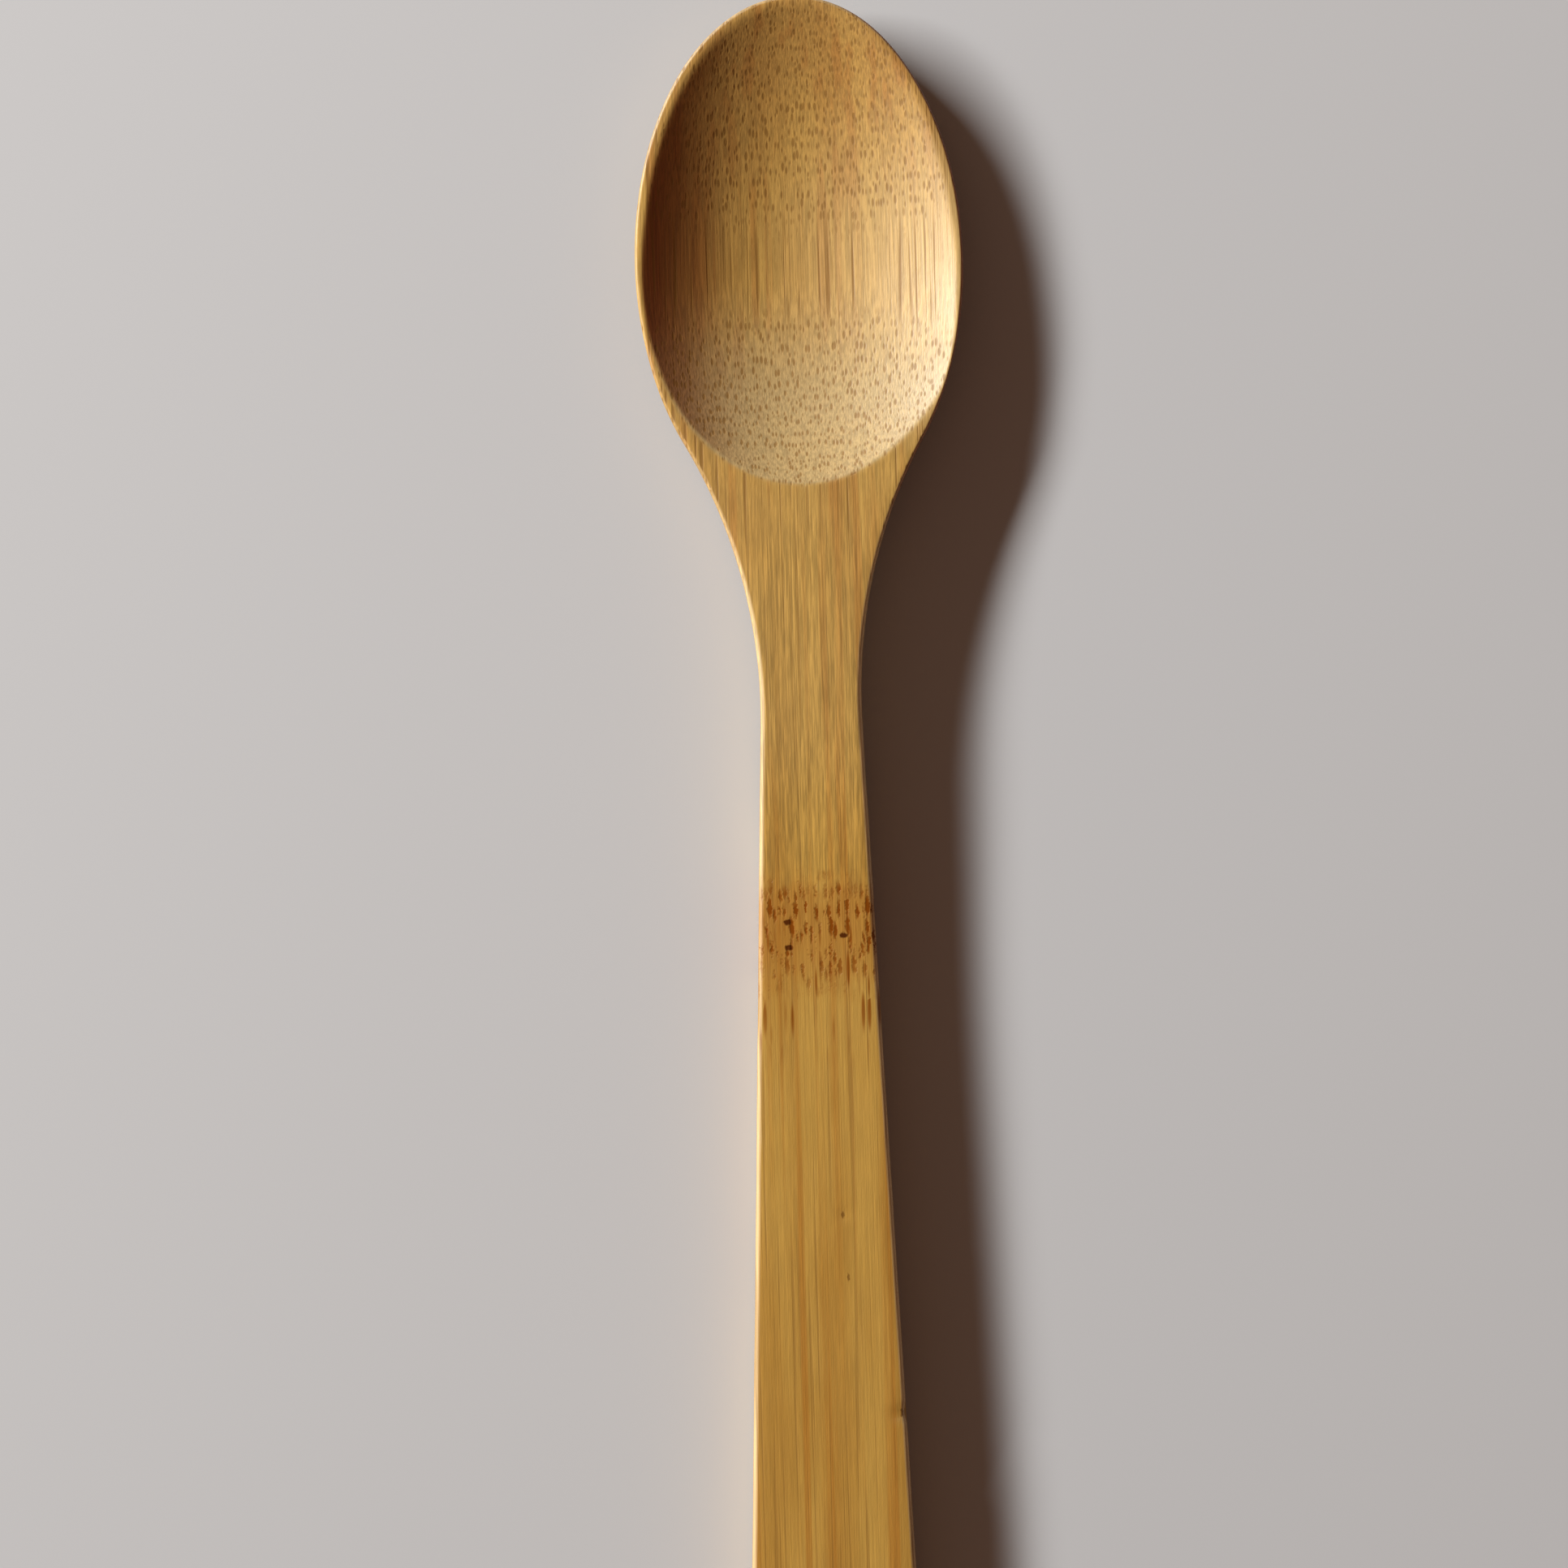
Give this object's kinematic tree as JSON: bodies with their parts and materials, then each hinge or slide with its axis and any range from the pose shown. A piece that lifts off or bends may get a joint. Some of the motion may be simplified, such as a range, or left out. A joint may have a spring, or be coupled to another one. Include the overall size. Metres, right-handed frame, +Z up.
{
  "type": "bamboo spoon",
  "caption": "One-piece carved spoon with an oval hollow bowl, a narrow neck and a flat handle that widens to a rounded end.",
  "frame": {"origin": "middle of the footprint, on the surface that the spoon lies on", "axes": "+Y along the spoon towards the tip of the bowl, +Z up out of the bowl, X across"},
  "size_m": [0.039, 0.2, 0.0077],
  "materials": {
    "bamboo": "sanded and lightly oiled bamboo"
  },
  "bodies": {
    "root": {"bamboo_spoon": "bamboo"}
  },
  "joints": []
}
